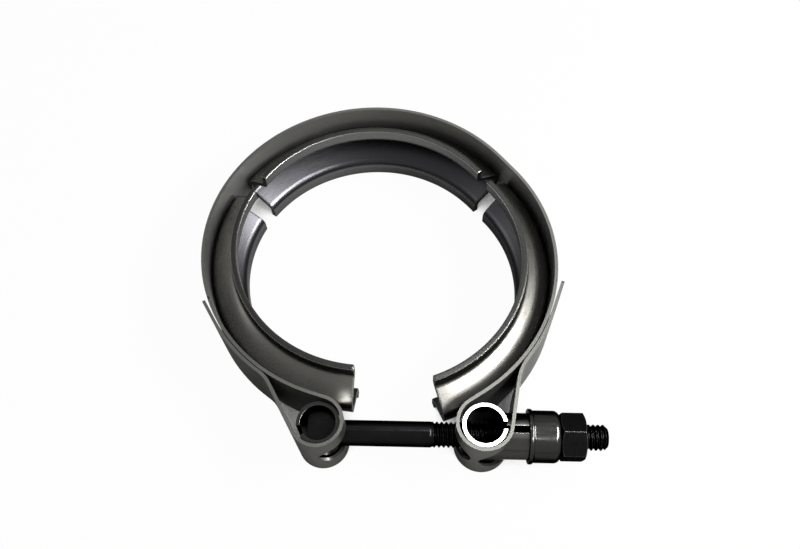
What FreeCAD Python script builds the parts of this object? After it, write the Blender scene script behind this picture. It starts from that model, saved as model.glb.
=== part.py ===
import FreeCAD, Part
import math
import os

os.makedirs("parts", exist_ok=True)

# Every length is in millimetres. The ring axis is Z, the bolt runs along X, and
# the ring centre at half the band width is the origin.

# Band strap
ringRadius = 55.0
strapThickness = 1.0
strapWidth = 22.8
openAngle = 7.8
openAt = 35.0
tailSpace = 0.25
leftTailAngle = 212.0
leftTailLength = 8.5
rightTailAngle = -26.8
rightTailLength = 11.0
leftBendRadius = 11.0
leftBendAngle = 235.5
rightBendRadius = 17.0
rightBendAngle = -45.3
tailCornerRadius = 1.2
tailWeldRadius = 1.6
leftWeldAngles = (219.0, 229.0)
rightWeldAngles = (-30.8, -40.8)

# Trunnions and the loops of the strap round them
leftPinAngle = 257.73
leftPinGap = 0.2
rightPinGap = 0.2
leftLoopSpace = 0.3
rightLoopSpace = 0.8
rightLoopShiftX = -0.05
rightLoopShiftY = 0.35
trunnionRadius = 6.6
trunnionWall = 1.1
trunnionLength = 20.8
saddleRadius = 6.4
saddleShift = 0.2
saddleLength = 18.8
seamWidth = 2.2
neckRadius = 6.9
neckWall = 1.0
neckLength = 21.34
saddleMouthAngle = 204.0
saddleMouthSpread = 30.0
boltSlotHalf = 4.4
boltSlotStart = 303.0
boltSlotEnd = 390.0
neckSlotHalf = 7.3
neckSlotStart = 320.0
neckSlotEnd = 360
entrySlotStart = 150.0
entrySlotEnd = 212.0

# V-section segments
segmentThickness = 1.8
segmentSpace = 0.2
channelDepth = 10.2
lipHalf = 12.0
lipBendHalf = 8.7
lipBendRadius = 2.5
crownBendHalf = 1.1
crownBendRadius = 2.4
topStart = 37.2
topEnd = 147.6
leftStart = 155.3
leftEnd = 265.8
rightStart = 283.2
rightEnd = 392.8
weldCount = 4
weldMargin = 7.0
weldRadius = 1.2
weldDishDepth = 0.2

# T-bolt, collar and nut
boltRadius = 3.85
boltTipReach = 6.9
boltChamfer = 1.1
headHalfHeight = 4.7
headHalfLength = 6.0
headBack = -3.4
headFit = 0.05
holeSpace = 0.4
threadFit = 0.05
collarOverlap = 8.15
collarFloor = 1.25
collarWall = 0.75
collarFit = 0.08
collarLipFlare = 0.45
collarLipLength = 1.0
collarShoulder = 2.0
collarBoreSpace = 0.3
seatSpace = 0.05
nutFlats = 13.0
nutHeight = 7.25
nutTurn = 5.0
touch = 0.01

centre = FreeCAD.Vector(0, 0, 0)
zAxis = FreeCAD.Vector(0, 0, 1)
xAxis = FreeCAD.Vector(1, 0, 0)


def flat(angle, length=1.0):
    turn = math.radians(angle)
    return FreeCAD.Vector(length * math.cos(turn), length * math.sin(turn), 0)


strapHalf = strapWidth / 2
strapInner = ringRadius - strapThickness
strapMiddle = ringRadius - strapThickness / 2
tailMiddle = ringRadius + tailSpace + strapThickness / 2
leftLoopMiddle = trunnionRadius + leftLoopSpace + strapThickness / 2
rightLoopMiddle = trunnionRadius + rightLoopSpace + strapThickness / 2
lipRadius = strapInner - segmentSpace - channelDepth

# The right arc of the ring is sprung open: it swings about a point of the strap,
# and both loops stay on the line of the bolt
swing = flat(openAt, ringRadius) - flat(openAt + openAngle, ringRadius)
leftPin = flat(leftPinAngle, strapMiddle + leftLoopMiddle + leftPinGap)
saddlePin = leftPin + xAxis * saddleShift
boltLineY = leftPin.y
rightLoopY = boltLineY + rightLoopShiftY
rightLoopReach = strapMiddle + rightLoopMiddle + rightPinGap
rightLoopX = swing.x + math.sqrt(rightLoopReach ** 2 - (rightLoopY - swing.y) ** 2)
rightLoop = FreeCAD.Vector(rightLoopX, rightLoopY, 0)
rightPin = FreeCAD.Vector(rightLoopX - rightLoopShiftX, boltLineY, 0)
neckEndX = rightPin.x + neckLength
collarEndX = neckEndX + seatSpace + collarFloor
nutStartX = collarEndX + seatSpace
boltEndX = nutStartX + nutHeight + boltTipReach


# A strip outline: straight runs joined by bends, each bend a circle that is
# passed counterclockwise (side 1) or clockwise (side -1).
def beltHeadings(bends):
    headings = []
    for (c1, r1, s1), (c2, r2, s2) in zip(bends, bends[1:]):
        reach = c2 - c1
        rise = s2 * r2 - s1 * r1
        aim = math.degrees(math.atan2(reach.y, reach.x))
        headings.append(aim - math.degrees(math.asin(rise / reach.Length)))
    return headings


def bendPoint(bend, heading, offset):
    middle, radius, side = bend
    return middle + flat(heading - 90, side * radius + offset)


def stripSide(bends, headings, startLength, endLength, offset):
    first = bendPoint(bends[0], headings[0], offset)
    start = first - flat(headings[0], startLength)
    edges = [Part.LineSegment(start, first).toShape()]
    for i, bend in enumerate(bends):
        turn = (headings[i + 1] - headings[i]) % 360
        if bend[2] < 0:
            turn = turn - 360
        a = bendPoint(bend, headings[i], offset)
        m = bendPoint(bend, headings[i] + turn / 2, offset)
        b = bendPoint(bend, headings[i + 1], offset)
        edges.append(Part.Arc(a, m, b).toShape())
        if i + 1 < len(bends):
            nextPoint = bendPoint(bends[i + 1], headings[i + 1], offset)
            if nextPoint.distanceToPoint(b) > 1e-4:
                edges.append(Part.LineSegment(b, nextPoint).toShape())
    end = b + flat(headings[-1], endLength)
    edges.append(Part.LineSegment(b, end).toShape())
    return start, end, edges


def stripFace(bends, firstHeading, lastHeading, startLength, endLength, thickness):
    headings = [firstHeading] + beltHeadings(bends) + [lastHeading]
    half = thickness / 2
    s1, e1, side1 = stripSide(bends, headings, startLength, endLength, half)
    s2, e2, side2 = stripSide(bends, headings, startLength, endLength, -half)
    caps = [Part.LineSegment(s1, s2).toShape(), Part.LineSegment(e1, e2).toShape()]
    outline = Part.Wire(Part.__sortEdges__(side1 + side2 + caps))
    return Part.Face(outline)


def sector(middle, radius, startAngle, endAngle, halfHeight):
    disc = Part.makeCylinder(radius, 2 * halfHeight, middle - zAxis * halfHeight, zAxis,
                             endAngle - startAngle)
    disc.rotate(middle, zAxis, startAngle)
    return disc


# Slot through the wall of a strap loop, with round ends
def loopSlot(pin, loopRadius, firstAngle, lastAngle, half):
    reach = loopRadius + strapThickness
    shapes = [sector(pin, reach, firstAngle, lastAngle, half)]
    for angle in (firstAngle, lastAngle):
        shapes.append(Part.makeCylinder(half, reach, pin, flat(angle)))
    return shapes


def tailCorners(tip, heading):
    back = flat(heading + 180)
    tools = []
    for side in (-1, 1):
        corner = tip + zAxis * (side * strapHalf)
        block = Part.makeBox(tailCornerRadius, 4 * strapThickness, tailCornerRadius,
                             FreeCAD.Vector(0, -2 * strapThickness, 0))
        block = block.cut(Part.makeCylinder(tailCornerRadius, 4 * strapThickness,
                                            FreeCAD.Vector(tailCornerRadius, -2 * strapThickness,
                                                           tailCornerRadius),
                                            FreeCAD.Vector(0, 1, 0)))
        if side > 0:
            block = block.mirror(centre, zAxis)
        block.rotate(centre, zAxis, math.degrees(math.atan2(back.y, back.x)))
        block.translate(corner)
        tools.append(block)
    return tools


def bandStrap():
    leftBend = flat(leftBendAngle, tailMiddle + leftBendRadius)
    rightBend = swing + flat(rightBendAngle + openAngle, tailMiddle + rightBendRadius)
    rightTail = rightTailAngle + openAngle
    bends = [
        (centre, tailMiddle, 1),
        (leftBend, leftBendRadius, -1),
        (leftPin, leftLoopMiddle, 1),
        (centre, strapMiddle, -1),
        (swing, strapMiddle, -1),
        (rightLoop, rightLoopMiddle, 1),
        (rightBend, rightBendRadius, -1),
        (swing, tailMiddle, 1),
    ]
    face = stripFace(bends, leftTailAngle + 90, rightTail + 90, leftTailLength,
                     rightTailLength, strapThickness)
    strap = face.extrude(zAxis * strapWidth)
    strap.translate(zAxis * -strapHalf)
    cuts = loopSlot(leftPin, leftLoopMiddle, boltSlotStart, boltSlotEnd, boltSlotHalf)
    cuts += loopSlot(rightLoop, rightLoopMiddle, neckSlotStart, neckSlotEnd, neckSlotHalf)
    cuts += loopSlot(rightLoop, rightLoopMiddle, entrySlotStart, entrySlotEnd, boltSlotHalf)
    cuts.append(Part.makeCylinder(neckSlotHalf, neckLength, rightPin, xAxis))
    leftTip = flat(leftTailAngle, tailMiddle) + flat(leftTailAngle - 90, leftTailLength)
    rightTip = swing + flat(rightTail, tailMiddle) + flat(rightTail + 90, rightTailLength)
    cuts += tailCorners(leftTip, leftTailAngle - 90)
    cuts += tailCorners(rightTip, rightTail + 90)
    strap = strap.cut(cuts)
    welds = []
    weldSpots = [(centre, angle) for angle in leftWeldAngles]
    weldSpots += [(swing, angle + openAngle) for angle in rightWeldAngles]
    for middle, angle in weldSpots:
        for z in (-strapHalf / 2, strapHalf / 2):
            root = middle + flat(angle, ringRadius - strapThickness / 2) + zAxis * z
            welds.append(Part.makeCylinder(tailWeldRadius, tailSpace + strapThickness, root, flat(angle)))
    return strap.fuse(welds).removeSplitter()


# Channel section in the plane of radius and Z, bent up from sheet: a crown, two
# sloping legs and two lips that run parallel to the ring axis
def segmentSection():
    half = segmentThickness / 2
    lipBend = lipRadius + half + lipBendRadius
    crownBend = strapInner - segmentSpace - half - crownBendRadius
    bends = [
        (FreeCAD.Vector(lipBend, lipBendHalf, 0), lipBendRadius, 1),
        (FreeCAD.Vector(crownBend, crownBendHalf, 0), crownBendRadius, -1),
        (FreeCAD.Vector(crownBend, -crownBendHalf, 0), crownBendRadius, -1),
        (FreeCAD.Vector(lipBend, -lipBendHalf, 0), lipBendRadius, 1),
    ]
    run = lipHalf - lipBendHalf
    face = stripFace(bends, -90, -90, run, run, segmentThickness)
    face.rotate(centre, xAxis, 90)
    return face


def segment(startAngle, endAngle):
    body = segmentSection().revolve(centre, zAxis, endAngle - startAngle)
    body.rotate(centre, zAxis, startAngle)
    return body


# Spot welds that hold a segment to the strap: a dish inside, a bridge outside
def welds(angles):
    bumps = []
    for angle in angles:
        root = flat(angle, strapInner - segmentSpace - segmentThickness / 2)
        bumps.append(Part.makeCylinder(weldRadius, segmentSpace + segmentThickness / 2, root, flat(angle)))
    return bumps


def weldDishes(angles):
    dishes = []
    floor = strapInner - segmentSpace - segmentThickness + weldDishDepth
    for angle in angles:
        dishes.append(Part.makeCylinder(weldRadius, weldRadius, flat(angle, floor), flat(angle + 180)))
    return dishes


def weldAngles(startAngle, endAngle):
    step = (endAngle - startAngle - 2 * weldMargin) / (weldCount - 1)
    return [startAngle + weldMargin + i * step for i in range(weldCount)]


def weldedSegment(startAngle, endAngle, middle):
    spots = weldAngles(startAngle, endAngle)
    trim = Part.makeCylinder(strapInner, 2 * lipHalf, zAxis * -lipHalf)
    bumps = [bump.common(trim) for bump in welds(spots)]
    body = segment(startAngle, endAngle).cut(weldDishes(spots)).fuse(bumps).removeSplitter()
    body.translate(middle)
    return body


# Rolled tube with its mouth away from the bolt
def boltTrunnion():
    half = saddleLength / 2
    base = saddlePin - zAxis * half
    tube = Part.makeCylinder(saddleRadius, saddleLength, base)
    bore = Part.makeCylinder(saddleRadius - trunnionWall, saddleLength, base)
    mouth = sector(saddlePin, saddleRadius + trunnionWall, saddleMouthAngle - saddleMouthSpread / 2,
                   saddleMouthAngle + saddleMouthSpread / 2, half)
    hole = Part.makeCylinder(boltRadius + holeSpace, 2 * saddleRadius, saddlePin, xAxis)
    return tube.cut([bore, mouth, hole])


# Sheet wrapped round the pin hole and closed over the bolt as a split neck
def nutTrunnion():
    half = trunnionLength / 2
    base = rightPin - zAxis * half
    skin = Part.makeCylinder(trunnionRadius, trunnionLength, base)
    neck = Part.makeCylinder(neckRadius, neckLength, rightPin, xAxis)
    bore = Part.makeCylinder(trunnionRadius - trunnionWall, trunnionLength, base)
    neckBore = Part.makeCylinder(neckRadius - neckWall, neckLength, rightPin, xAxis)
    seam = Part.makeBox(neckLength, seamWidth, trunnionLength,
                        rightPin + FreeCAD.Vector(0, -seamWidth / 2, -half))
    hole = Part.makeCylinder(boltRadius + holeSpace, 2 * trunnionRadius, rightPin, -xAxis)
    return skin.fuse(neck).cut([bore, neckBore, seam, hole]).removeSplitter()


# The head is a bar whose round side bears inside the tube
def tBolt():
    bore = saddleRadius - trunnionWall - headFit
    shank = Part.makeCylinder(boltRadius, boltEndX - saddlePin.x, saddlePin, xAxis)
    tipEdges = [e for e in shank.Edges if e.BoundBox.XMin > boltEndX - touch]
    shank = shank.makeChamfer(boltChamfer, tipEdges)
    low = saddlePin + FreeCAD.Vector(headBack, -headHalfHeight, -headHalfLength)
    head = Part.makeBox(bore - headBack, 2 * headHalfHeight, 2 * headHalfLength, low)
    head = head.common(Part.makeCylinder(bore, 2 * headHalfLength, saddlePin - zAxis * headHalfLength))
    return head.fuse(shank).removeSplitter()


def revolved(points):
    outline = Part.makePolygon([FreeCAD.Vector(x, r, 0) for x, r in points + points[:1]])
    body = Part.Face(outline).revolve(centre, xAxis, 360)
    body.translate(FreeCAD.Vector(0, boltLineY, 0))
    return body


def collar():
    inner = neckRadius + collarFit
    outer = inner + collarWall
    floorX = neckEndX + seatSpace
    collarStartX = neckEndX - collarOverlap
    lipX = collarStartX + collarLipLength
    boreRadius = boltRadius + collarBoreSpace
    flare = collarLipFlare
    points = [(collarStartX, inner), (collarStartX, outer + flare), (lipX, outer + flare),
              (lipX + flare, outer), (collarEndX, outer), (collarEndX, boreRadius),
              (floorX, boreRadius), (floorX, inner)]
    body = revolved(points)
    rim = [e for e in body.Edges
           if e.BoundBox.XMin > collarEndX - touch and e.BoundBox.ZMax > outer - touch]
    return body.makeFillet(collarShoulder, rim)


def hexNut():
    corner = nutFlats / 2 / math.cos(math.radians(30))
    x = nutStartX
    points = []
    for i in range(7):
        turn = math.radians(60 * i + nutTurn)
        points.append(FreeCAD.Vector(x, boltLineY - corner * math.sin(turn), corner * math.cos(turn)))
    body = Part.Face(Part.makePolygon(points)).extrude(xAxis * nutHeight)
    flatRadius = nutFlats / 2
    drop = (corner - flatRadius) * math.tan(math.radians(30))
    reach = corner + touch
    barrel = revolved([(x, 0), (x, flatRadius), (x + drop, reach), (x + nutHeight - drop, reach),
                       (x + nutHeight, flatRadius), (x + nutHeight, 0)])
    hole = Part.makeCylinder(boltRadius + threadFit, nutHeight, FreeCAD.Vector(x, boltLineY, 0), xAxis)
    return body.common(barrel).cut(hole)


shapes = {
    "band_strap": bandStrap(),
    "v_segment_top": weldedSegment(topStart, topEnd, centre),
    "v_segment_left": weldedSegment(leftStart, leftEnd, centre),
    "v_segment_right": weldedSegment(rightStart + openAngle, rightEnd + openAngle, swing),
    "bolt_trunnion": boltTrunnion(),
    "nut_trunnion": nutTrunnion(),
    "t_bolt": tBolt(),
    "collar": collar(),
    "hex_nut": hexNut(),
}

for name, shape in shapes.items():
    shape.exportStep("parts/" + name + ".step")
    print(name, "valid", shape.isValid(), "solids", len(shape.Solids), "volume", round(shape.Volume, 1))
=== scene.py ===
import bpy
import bmesh
import math
from mathutils import Matrix, Vector


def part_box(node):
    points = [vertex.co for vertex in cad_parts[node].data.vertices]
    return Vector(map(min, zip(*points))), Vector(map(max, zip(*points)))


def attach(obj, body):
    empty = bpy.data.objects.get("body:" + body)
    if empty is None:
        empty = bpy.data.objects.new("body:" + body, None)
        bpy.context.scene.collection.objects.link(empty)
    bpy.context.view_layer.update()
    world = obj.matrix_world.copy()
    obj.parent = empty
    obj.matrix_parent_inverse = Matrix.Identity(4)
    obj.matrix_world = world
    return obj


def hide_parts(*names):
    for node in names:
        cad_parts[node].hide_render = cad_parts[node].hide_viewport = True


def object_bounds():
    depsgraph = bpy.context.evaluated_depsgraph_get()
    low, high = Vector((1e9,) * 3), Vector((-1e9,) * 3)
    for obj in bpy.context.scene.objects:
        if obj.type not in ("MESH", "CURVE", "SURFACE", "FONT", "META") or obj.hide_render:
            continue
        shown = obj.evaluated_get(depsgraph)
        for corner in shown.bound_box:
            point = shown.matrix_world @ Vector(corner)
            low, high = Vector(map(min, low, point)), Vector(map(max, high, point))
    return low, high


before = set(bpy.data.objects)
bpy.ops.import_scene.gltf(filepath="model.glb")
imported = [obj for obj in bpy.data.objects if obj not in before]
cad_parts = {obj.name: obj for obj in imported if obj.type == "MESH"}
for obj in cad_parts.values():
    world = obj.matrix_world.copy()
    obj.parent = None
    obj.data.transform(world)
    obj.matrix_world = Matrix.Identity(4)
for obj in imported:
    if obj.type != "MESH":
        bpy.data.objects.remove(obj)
cadLow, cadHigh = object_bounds()
mm = 0.001
fullTurn = 2 * math.pi


def linear(hexCode):
    # sRGB hex to the linear values that shaders take
    parts = [int(hexCode[i:i + 2], 16) / 255 for i in (1, 3, 5)]
    return [c / 12.92 if c <= 0.04045 else ((c + 0.055) / 1.055) ** 2.4 for c in parts] + [1.0]


def addNode(tree, kind, settings=None, inputs=None):
    # one node with its settings; an input is either a value or a socket to link
    made = tree.nodes.new(kind)
    for key, value in (settings or {}).items():
        setattr(made, key, value)
    for key, value in (inputs or {}).items():
        if isinstance(value, bpy.types.NodeSocket):
            tree.links.new(value, made.inputs[key])
        else:
            made.inputs[key].default_value = value
    return made


def maths(tree, operation, *values):
    return addNode(tree, "ShaderNodeMath", {"operation": operation}, dict(enumerate(values))).outputs[0]


def vectorMaths(tree, operation, *values):
    return addNode(tree, "ShaderNodeVectorMath", {"operation": operation}, dict(enumerate(values))).outputs


def remap(tree, value, limits, low=0.0, high=1.0, kind="SMOOTHSTEP"):
    # low at the first limit and high at the second
    mapped = addNode(tree, "ShaderNodeMapRange", {"interpolation_type": kind},
                     {"Value": value, "From Min": limits[0], "From Max": limits[1],
                      "To Min": low, "To Max": high})
    return mapped.outputs[0]


def blend(tree, share, first, second, kind="MIX"):
    mixed = addNode(tree, "ShaderNodeMix", {"data_type": "RGBA", "blend_type": kind},
                    {"Factor": share, 6: first, 7: second})
    return mixed.outputs[2]


def emptyMaterial(name):
    material = bpy.data.materials.new(name)
    material.use_nodes = True
    material.node_tree.nodes.clear()
    return material


# What all the steels share. Each pair holds the two limits that a mask runs between
steel = {
    "across": (0.90, 0.99), "inward": (-0.05, -0.45), "wall": (0.45, 0.15), "cornerHighlight": (0.99, 0.85),
    "open": (0.15, 0.75), "grain": (0.3, 0.7), "grainDetail": 4.0, "grainRoughness": 0.6,
    "cloudDetail": 3.0, "reliefDepth": 0.02 * mm, "bevelSamples": 6, "shelterSamples": 6,
}


def roundedNormal(tree, size):
    return addNode(tree, "ShaderNodeBevel", {"samples": steel["bevelSamples"]}, {"Radius": size}).outputs[0]


def steelMaterial(look):
    # grain, slow tone changes and painted light and shade for each way of facing, on one metal shader
    material = emptyMaterial(look["name"])
    tree = material.node_tree
    where = addNode(tree, "ShaderNodeTexCoord").outputs
    lines = [1 / (size * mm) for size in look["grainMm"]]
    stretched = addNode(tree, "ShaderNodeMapping", None, {"Vector": where["Object"], "Scale": lines})
    grain = addNode(tree, "ShaderNodeTexNoise", None,
                    {"Vector": stretched.outputs[0], "Scale": 1.0, "Detail": steel["grainDetail"],
                     "Roughness": steel["grainRoughness"]}).outputs[0]
    cloud = addNode(tree, "ShaderNodeTexNoise", None,
                    {"Vector": where["Object"], "Scale": 1 / (look["cloudMm"] * mm),
                     "Detail": steel["cloudDetail"]}).outputs[0]
    tone = blend(tree, cloud, linear(look["dark"]), linear(look["light"]))
    split = addNode(tree, "ShaderNodeSeparateXYZ", None, {"Vector": where["Normal"]}).outputs
    upward = maths(tree, "ABSOLUTE", split["Z"])
    # painted light and shade: faces toward the middle of the ring get tones of their own, set for how the
    # lamps fall on them
    level = vectorMaths(tree, "MULTIPLY", where["Object"], (1.0, 1.0, 0.0))["Vector"]
    outward = vectorMaths(tree, "NORMALIZE", level)["Vector"]
    facing = vectorMaths(tree, "DOT_PRODUCT", outward, where["Normal"])["Value"]
    shaded = blend(tree, remap(tree, upward, steel["wall"]), linear(look["inward"]), linear(look["wall"]))
    skin = blend(tree, remap(tree, facing, steel["inward"]), tone, shaded)
    # painted light and shade on faces across the ring's axis, the cut edges and ends
    across = remap(tree, upward, steel["across"], high=look["edgeShare"])
    skin = blend(tree, across, skin, linear(look["edge"]))
    if look["cornerHighlightShare"] > 0:
        # painted highlight: corners found by the rounded normal are made paler
        rounded = roundedNormal(tree, look["cornerMm"] * mm)
        agreement = vectorMaths(tree, "DOT_PRODUCT", rounded, where["Normal"])["Value"]
        cornerHighlight = remap(tree, agreement, steel["cornerHighlight"], high=look["cornerHighlightShare"])
        skin = blend(tree, cornerHighlight, skin, linear(look["cornerHighlight"]))
    # painted shade: the colour is darkened where ambient occlusion finds the surface shut in
    shelter = addNode(tree, "ShaderNodeAmbientOcclusion", {"samples": steel["shelterSamples"]},
                      {"Distance": look["shelterMm"] * mm})
    openness = remap(tree, shelter.outputs["AO"], steel["open"], look["recessShade"], 1.0, "LINEAR")
    shadedSkin = blend(tree, 1.0, skin, openness, "MULTIPLY")
    gloss = remap(tree, grain, steel["grain"], look["rough"][0], look["rough"][1], "LINEAR")
    relief = addNode(tree, "ShaderNodeBump", None,
                     {"Height": grain, "Strength": look["relief"], "Distance": steel["reliefDepth"]})
    if look["softMm"] > 0:
        tree.links.new(roundedNormal(tree, look["softMm"] * mm), relief.inputs["Normal"])
    shader = addNode(tree, "ShaderNodeBsdfPrincipled", None,
                     {"Base Color": shadedSkin, "Metallic": 1.0, "Roughness": gloss,
                      "Specular Tint": linear(look["rim"]), "Normal": relief.outputs[0]})
    addNode(tree, "ShaderNodeOutputMaterial", None, {"Surface": shader.outputs[0]})
    return material


# In each look, edge is the tone of faces across the ring's axis, inward and wall are those of sloping and
# upright faces toward its middle, all three painted light and shade set for how the lamps fall; the corner
# tone is a painted highlight, and rim tints what is seen at a slant

# Rolled stainless strip: satin, with faint lines along it, painted shade on its sheared edges and painted
# light on faces toward the ring's middle
stripLook = {
    "name": "rolled stainless strip", "dark": "#605f5d", "light": "#757472", "edge": "#50504d",
    "inward": "#a6a6a6", "wall": "#a6a6a6", "rim": "#b8b8b8",
    "edgeShare": 1.0, "grainMm": (8.0, 8.0, 0.6), "cloudMm": 30.0, "rough": (0.32, 0.35), "relief": 0.0,
    "shelterMm": 8.0, "recessShade": 1.0, "softMm": 0.0, "cornerHighlightShare": 0.0,
}
# Pressed stainless channel: darker than the strip, with a painted highlight on its corners, painted shade on
# its cut edges and sloping inner faces, and painted light on its upright inner faces
channelLook = {
    "name": "pressed stainless channel", "dark": "#4d4c49", "light": "#5f5e5a", "edge": "#2e2e2d",
    "inward": "#2d2d2f", "wall": "#707070", "cornerHighlight": "#b0b0ad", "rim": "#b8b8b8",
    "edgeShare": 1.0, "grainMm": (5.0, 5.0, 0.30), "cloudMm": 15.0, "rough": (0.26, 0.31), "relief": 0.04,
    "shelterMm": 11.0, "recessShade": 0.45, "cornerMm": 0.22, "softMm": 0.8, "cornerHighlightShare": 0.6,
}
# Tumbled stainless tube: smooth and even, with a painted highlight on its cut ends and corners and painted
# shade on faces toward the ring's middle
tubeLook = {
    "name": "tumbled stainless tube", "dark": "#3a3938", "light": "#494846", "edge": "#666664",
    "inward": "#1b1b1a", "wall": "#3a3938", "cornerHighlight": "#c6c6c3", "rim": "#b0b0b0",
    "edgeShare": 1.0, "grainMm": (1.2, 1.2, 1.2), "cloudMm": 9.0, "rough": (0.12, 0.18), "relief": 0.08,
    "shelterMm": 8.0, "recessShade": 0.12, "cornerMm": 0.25, "softMm": 0.08, "cornerHighlightShare": 0.8,
}
# The same tube as a shaded copy: painted darker, with painted shade on its cut ends and a dimmer painted
# highlight on its corners
shadedTubeLook = dict(
    tubeLook, name="shaded stainless tube", dark="#2c2b2a", light="#3c3b3a", edge="#333332", cornerHighlight="#5c5c5a",
)
# Oiled alloy steel of the bolt: near black with a soft gleam
boltLook = {
    "name": "oil-blackened alloy steel", "dark": "#111112", "light": "#1c1c1d", "edge": "#1c1c1d",
    "inward": "#111112", "wall": "#111112", "rim": "#1c1c1c",
    "edgeShare": 0.0, "grainMm": (3.0, 0.5, 0.5), "cloudMm": 6.0, "rough": (0.20, 0.28), "relief": 0.10,
    "shelterMm": 10.0, "recessShade": 0.20, "softMm": 0.10, "cornerHighlightShare": 0.0,
}
# Drawn steel collar: smooth, with faint rings round it and a painted highlight on its corners
collarLook = {
    "name": "deep-drawn steel", "dark": "#2d2d2c", "light": "#3b3b39", "edge": "#3b3b39",
    "inward": "#2d2d2c", "wall": "#2d2d2c", "cornerHighlight": "#8c8c8a", "rim": "#505050",
    "edgeShare": 0.0, "grainMm": (0.25, 4.0, 4.0), "cloudMm": 8.0, "rough": (0.16, 0.20), "relief": 0.05,
    "shelterMm": 10.0, "recessShade": 0.20, "cornerMm": 0.25, "softMm": 0.25, "cornerHighlightShare": 0.6,
}
# Turned and blackened hex bar of the nut, with a painted highlight on its corners
nutLook = {
    "name": "blackened turned steel", "dark": "#0e0e0e", "light": "#161616", "edge": "#161616",
    "inward": "#121212", "wall": "#121212", "cornerHighlight": "#8c8c8a", "rim": "#1c1c1c",
    "edgeShare": 0.0, "grainMm": (0.5, 2.0, 2.0), "cloudMm": 5.0, "rough": (0.26, 0.38), "relief": 0.14,
    "shelterMm": 10.0, "recessShade": 0.20, "cornerMm": 0.25, "softMm": 0.25, "cornerHighlightShare": 0.6,
}
strip = steelMaterial(stripLook)
channel = steelMaterial(channelLook)
tube = steelMaterial(tubeLook)
shadedTube = steelMaterial(shadedTubeLook)
boltSteel = steelMaterial(boltLook)
collarSteel = steelMaterial(collarLook)
nutSteel = steelMaterial(nutLook)

nodeFinish = {
    "band_strap": strip, "v_segment_top": channel, "v_segment_left": channel, "v_segment_right": channel,
    # the bolt's trunnion takes the shaded copy of the tube, painted darker
    "bolt_trunnion": shadedTube, "nut_trunnion": tube,
}
for name, material in nodeFinish.items():
    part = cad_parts[name]
    part.data.materials.clear()
    part.data.materials.append(material)
print("dressed", len(nodeFinish), "nodes")

# The collar and the nut are shown by copies with their sharp edges broken
finish = {
    "collar": {
        "shown": "spunCollar", "body": "collar", "slot": "collar", "steel": collarSteel, "edge": 0.15 * mm,
    },
    "hex_nut": {
        "shown": "chamferedNut", "body": "nut", "slot": "nut", "steel": nutSteel, "edge": 0.30 * mm,
    },
}
edgeSegments = 2
sharpAngle = math.radians(35)
flatAngle = math.radians(0.4)
weldDistance = 0.002 * mm


def breakEdges(piece, width):
    edges = piece.modifiers.new("broken edges", "BEVEL")
    edges.width = width
    edges.segments = edgeSegments
    edges.limit_method = "ANGLE"
    edges.angle_limit = sharpAngle
    edges.harden_normals = True


def finishPart(name, look):
    # facets that lie flat are joined, so that only true edges are broken
    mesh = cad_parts[name].data.copy()
    work = bmesh.new()
    work.from_mesh(mesh)
    bmesh.ops.remove_doubles(work, verts=work.verts, dist=weldDistance)
    bmesh.ops.dissolve_limit(work, angle_limit=flatAngle, verts=work.verts, edges=work.edges)
    for face in work.faces:
        face.smooth = True
        face.material_index = 0
    work.to_mesh(mesh)
    work.free()
    mesh.set_sharp_from_angle(angle=sharpAngle)
    mesh.materials.clear()
    mesh.materials.append(look["steel"])
    piece = bpy.data.objects.new(look["shown"], mesh)
    bpy.context.collection.objects.link(piece)
    breakEdges(piece, look["edge"])
    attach(piece, look["body"])
    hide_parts(name)


for name, look in finish.items():
    finishPart(name, look)
print("finished", len(finish), "parts")

# The bolt: T-head, plain shank and rolled thread
bolt = {
    "radius": 3.85 * mm, "pitch": 1.41 * mm, "depth": 0.62 * mm, "threadFrom": 19.7 * mm,
    "flankSlope": 2.6, "flankOffset": -0.15, "chamfer": 1.1 * mm, "edge": 0.08 * mm,
    "headWidth": 9.4 * mm, "headRadius": 5.25 * mm, "headBack": -3.4 * mm, "headSteps": 12,
    "around": 48, "perPitch": 12,
}
boltLow, boltHigh = (Vector(v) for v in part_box("t_bolt"))
boltY = (boltLow.y + boltHigh.y) / 2
pinX = boltLow.x - bolt["headBack"]


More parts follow.
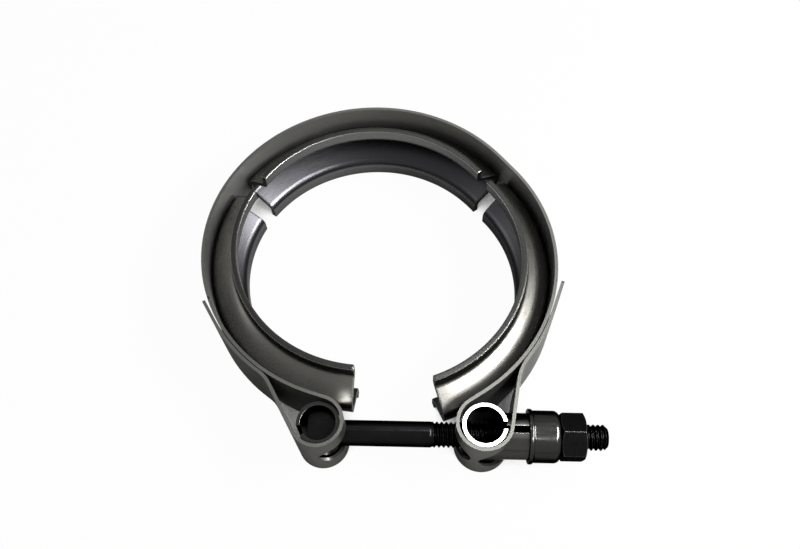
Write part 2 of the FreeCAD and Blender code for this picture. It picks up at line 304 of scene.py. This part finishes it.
def threadTree():
    # a unit sheet is rolled round the bolt's axis, and its radius follows the thread
    tree = bpy.data.node_groups.new("rolled thread", "GeometryNodeTree")
    sockets = tree.interface
    for label in ("Length", "Radius", "Pitch", "Depth", "Thread From", "Chamfer"):
        sockets.new_socket(label, in_out="INPUT", socket_type="NodeSocketFloat")
    for label in ("Around", "Along"):
        sockets.new_socket(label, in_out="INPUT", socket_type="NodeSocketInt")
    sockets.new_socket("Steel", in_out="INPUT", socket_type="NodeSocketMaterial")
    sockets.new_socket("Geometry", in_out="OUTPUT", socket_type="NodeSocketGeometry")
    given = addNode(tree, "NodeGroupInput").outputs

    def calc(operation, *values):
        return maths(tree, operation, *values)

    def share(value):
        return addNode(tree, "ShaderNodeClamp", None, {"Value": value}).outputs[0]

    sheet = addNode(tree, "GeometryNodeMeshGrid", None,
                    {"Size X": 1.0, "Size Y": 1.0,
                     "Vertices X": given["Along"], "Vertices Y": given["Around"]})
    place = addNode(tree, "ShaderNodeSeparateXYZ", None,
                    {"Vector": addNode(tree, "GeometryNodeInputPosition").outputs[0]}).outputs
    along = calc("MULTIPLY", calc("ADD", place["X"], 0.5), given["Length"])
    turn = calc("MULTIPLY", calc("ADD", place["Y"], 0.5), fullTurn)
    phase = calc("FRACT", calc("SUBTRACT", calc("DIVIDE", along, given["Pitch"]),
                               calc("DIVIDE", turn, fullTurn)))
    wave = calc("ABSOLUTE", calc("SUBTRACT", phase, 0.5))
    flank = share(calc("MULTIPLY_ADD", wave, bolt["flankSlope"], bolt["flankOffset"]))
    started = share(calc("DIVIDE", calc("SUBTRACT", along, given["Thread From"]), given["Pitch"]))
    cut = calc("MULTIPLY", calc("MULTIPLY", calc("SUBTRACT", 1.0, flank), given["Depth"]), started)
    toEnd = calc("SUBTRACT", given["Length"], along)
    tip = calc("MAXIMUM", calc("SUBTRACT", given["Chamfer"], toEnd), 0.0)
    radius = calc("MINIMUM", calc("SUBTRACT", given["Radius"], cut), calc("SUBTRACT", given["Radius"], tip))
    spot = addNode(tree, "ShaderNodeCombineXYZ", None,
                   {"X": along, "Y": calc("MULTIPLY", radius, calc("COSINE", turn)),
                    "Z": calc("MULTIPLY", radius, calc("SINE", turn))})
    wrapped = addNode(tree, "GeometryNodeSetPosition", None,
                      {"Geometry": sheet.outputs[0], "Position": spot.outputs[0]})
    closed = addNode(tree, "GeometryNodeMergeByDistance", None,
                     {"Geometry": wrapped.outputs[0], "Distance": weldDistance})
    real = addNode(tree, "GeometryNodeRealizeInstances", None, {"Geometry": closed.outputs[0]})
    dressed = addNode(tree, "GeometryNodeSetMaterial", None,
                      {"Geometry": real.outputs[0], "Material": given["Steel"]})
    addNode(tree, "NodeGroupOutput", None, {"Geometry": dressed.outputs[0]})
    return tree


def threadMesh():
    length = boltHigh.x - boltLow.x
    holder = bpy.data.objects.new("thread holder", bpy.data.meshes.new("thread holder"))
    bpy.context.collection.objects.link(holder)
    tree = threadTree()
    modifier = holder.modifiers.new("thread", "NODES")
    modifier.node_group = tree
    values = {
        "Length": length, "Radius": bolt["radius"], "Pitch": bolt["pitch"], "Depth": bolt["depth"],
        "Thread From": bolt["threadFrom"] - boltLow.x, "Chamfer": bolt["chamfer"],
        "Around": bolt["around"] + 1, "Along": int(length / bolt["pitch"] * bolt["perPitch"]),
        "Steel": boltSteel,
    }
    for item in tree.interface.items_tree:
        if item.in_out == "INPUT":
            modifier[item.identifier] = values[item.name]
    bpy.context.view_layer.update()
    made = bpy.data.meshes.new_from_object(holder.evaluated_get(bpy.context.evaluated_depsgraph_get()))
    bpy.data.objects.remove(holder)
    return made


def addHead(work):
    # a bar with one round side that bears inside the trunnion
    half = bolt["headWidth"] / 2
    spread = math.asin(half / bolt["headRadius"])
    outline = [(bolt["headBack"], -half)]
    for i in range(bolt["headSteps"] + 1):
        turn = -spread + 2 * spread * i / bolt["headSteps"]
        outline.append((bolt["headRadius"] * math.cos(turn), bolt["headRadius"] * math.sin(turn)))
    outline.append((bolt["headBack"], half))
    low = [work.verts.new((pinX + x, boltY + y, boltLow.z)) for x, y in outline]
    high = [work.verts.new((pinX + x, boltY + y, boltHigh.z)) for x, y in outline]
    work.faces.new(low[::-1])
    work.faces.new(high)
    for i in range(len(outline)):
        j = (i + 1) % len(outline)
        work.faces.new((low[i], low[j], high[j], high[i]))


def makeBolt():
    made = threadMesh()
    work = bmesh.new()
    work.from_mesh(made)
    bmesh.ops.translate(work, verts=work.verts, vec=Vector((boltLow.x, boltY, 0)))
    bmesh.ops.holes_fill(work, edges=[e for e in work.edges if e.is_boundary])
    bmesh.ops.recalc_face_normals(work, faces=work.faces)
    addHead(work)
    for face in work.faces:
        face.material_index = 0
    work.to_mesh(made)
    work.free()
    made.materials.clear()
    made.materials.append(boltSteel)
    piece = bpy.data.objects.new("threadedBolt", made)
    bpy.context.collection.objects.link(piece)
    for polygon in made.polygons:
        polygon.use_smooth = len(polygon.vertices) == 4
    made.set_sharp_from_angle(angle=sharpAngle)
    breakEdges(piece, bolt["edge"])
    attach(piece, "clamp")
    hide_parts("t_bolt")
    return piece


threadedBolt = makeBolt()
print("bolt has", len(threadedBolt.data.polygons), "faces")

# The studio: grey floor that the camera sees as white, pale world and soft lamps
studio = {
    "floorSize": 6.0, "floorColour": "#6c6c6b", "floorGlow": 0.97, "mirroredGlow": 0.10,
    "shutInMm": 16.0, "shutIn": (0.16, 0.34), "shelterSamples": 8, "floorGap": 0.05 * mm,
    "white": "#ffffff", "worldShare": 0.35,
}


def makeWorld():
    world = bpy.data.worlds.new("studio white")
    bpy.context.scene.world = world
    world.use_nodes = True
    tree = world.node_tree
    tree.nodes.clear()
    path = addNode(tree, "ShaderNodeLightPath").outputs
    direct = maths(tree, "MAXIMUM", path["Is Camera Ray"], path["Is Glossy Ray"])
    clear = maths(tree, "MAXIMUM", direct, path["Is Transmission Ray"])
    strength = remap(tree, clear, (0.0, 1.0), studio["worldShare"], 1.0, "LINEAR")
    glow = addNode(tree, "ShaderNodeBackground", None,
                   {"Color": linear(studio["white"]), "Strength": strength})
    addNode(tree, "ShaderNodeOutputWorld", None, {"Surface": glow.outputs[0]})


def paperMaterial():
    paper = emptyMaterial("matt white paper")
    tree = paper.node_tree
    path = addNode(tree, "ShaderNodeLightPath").outputs
    mirrored = maths(tree, "MAXIMUM", path["Is Glossy Ray"], path["Is Transmission Ray"])
    dimmed = maths(tree, "MULTIPLY", mirrored, studio["mirroredGlow"])
    # painted shadow: the white glow is withdrawn where ambient occlusion finds the clamp shutting the paper
    # in, and there the grey paper shows with the lamps' real shadows
    shelter = addNode(tree, "ShaderNodeAmbientOcclusion", {"samples": studio["shelterSamples"]},
                      {"Distance": studio["shutInMm"] * mm})
    openness = remap(tree, shelter.outputs["AO"], studio["shutIn"], high=studio["floorGlow"])
    share = maths(tree, "MULTIPLY_ADD", path["Is Camera Ray"], openness, dimmed)
    matt = addNode(tree, "ShaderNodeBsdfDiffuse", None, {"Color": linear(studio["floorColour"])})
    white = addNode(tree, "ShaderNodeEmission", None, {"Color": linear(studio["white"]), "Strength": 1.0})
    mixed = addNode(tree, "ShaderNodeMixShader", None, {0: share, 1: matt.outputs[0], 2: white.outputs[0]})
    addNode(tree, "ShaderNodeOutputMaterial", None, {"Surface": mixed.outputs[0]})
    return paper


def makeFloor():
    half = studio["floorSize"] / 2
    z = cadLow.z - studio["floorGap"]
    corners = [(-half, -half, z), (half, -half, z), (half, half, z), (-half, half, z)]
    floorMesh = bpy.data.meshes.new("floor")
    floorMesh.from_pydata(corners, [], [(0, 1, 2, 3)])
    floorMesh.materials.append(paperMaterial())
    floor = bpy.data.objects.new("floor", floorMesh)
    bpy.context.collection.objects.link(floor)


# Each lamp: place, the point it looks at, width, depth and power in watts
lamps = {
    "high": {"at": (0.085, 0.125, 0.60), "to": (0.03, -0.06, 0.0), "size": (0.11, 0.07), "power": 0.8},
    "right": {"at": (0.37, 0.0, 0.36), "to": (0.03, -0.01, 0.0), "size": (0.28, 0.12), "power": 14.0},
    "front": {"at": (0.27, -0.20, 0.38), "to": (0.0, 0.0, 0.0), "size": (0.16, 0.10), "power": 3.0},
    "back": {"at": (0.06, 0.42, 0.58), "to": (0.03, 0.0, 0.0), "size": (0.28, 0.10), "power": 0.42},
    "left": {"at": (-0.45, 0.05, 0.30), "to": (0.0, 0.0, 0.0), "size": (0.20, 0.30), "power": 0.8},
}


def makeLamps():
    for name, lamp in lamps.items():
        data = bpy.data.lights.new(name, "AREA")
        data.shape = "RECTANGLE"
        data.size, data.size_y = lamp["size"]
        data.energy = lamp["power"]
        light = bpy.data.objects.new(name, data)
        bpy.context.collection.objects.link(light)
        aim = Vector(lamp["to"]) - Vector(lamp["at"])
        light.location = lamp["at"]
        light.rotation_euler = aim.to_track_quat("-Z", "Y").to_euler()


# The camera stands where the photograph's perspective puts it
view = {
    "at": (17.781 * mm, -134.172 * mm, 236.332 * mm), "azimuth": 3.821, "elevation": 61.537, "roll": -2.572,
    "lens": 36.44, "sensor": 36.0, "clipStart": 0.01,
}


def makeCamera():
    azimuth, elevation, roll = (math.radians(view[k]) for k in ("azimuth", "elevation", "roll"))
    back = Vector((math.sin(azimuth) * math.cos(elevation), -math.cos(azimuth) * math.cos(elevation),
                   math.sin(elevation)))
    level = (-back).cross(Vector((0, 0, 1))).normalized()
    upright = level.cross(-back)
    right = level * math.cos(roll) + upright * math.sin(roll)
    up = upright * math.cos(roll) - level * math.sin(roll)
    data = bpy.data.cameras.new("camera")
    data.sensor_width = view["sensor"]
    data.lens = view["lens"]
    data.clip_start = view["clipStart"]
    camera = bpy.data.objects.new("camera", data)
    bpy.context.collection.objects.link(camera)
    turned = Matrix((right, up, back)).transposed().to_4x4()
    turned.translation = Vector(view["at"])
    camera.matrix_world = turned
    bpy.context.scene.camera = camera


makeWorld()
makeFloor()
makeLamps()
makeCamera()
bpy.context.scene.view_settings.view_transform = "Standard"
print("studio and camera ready")
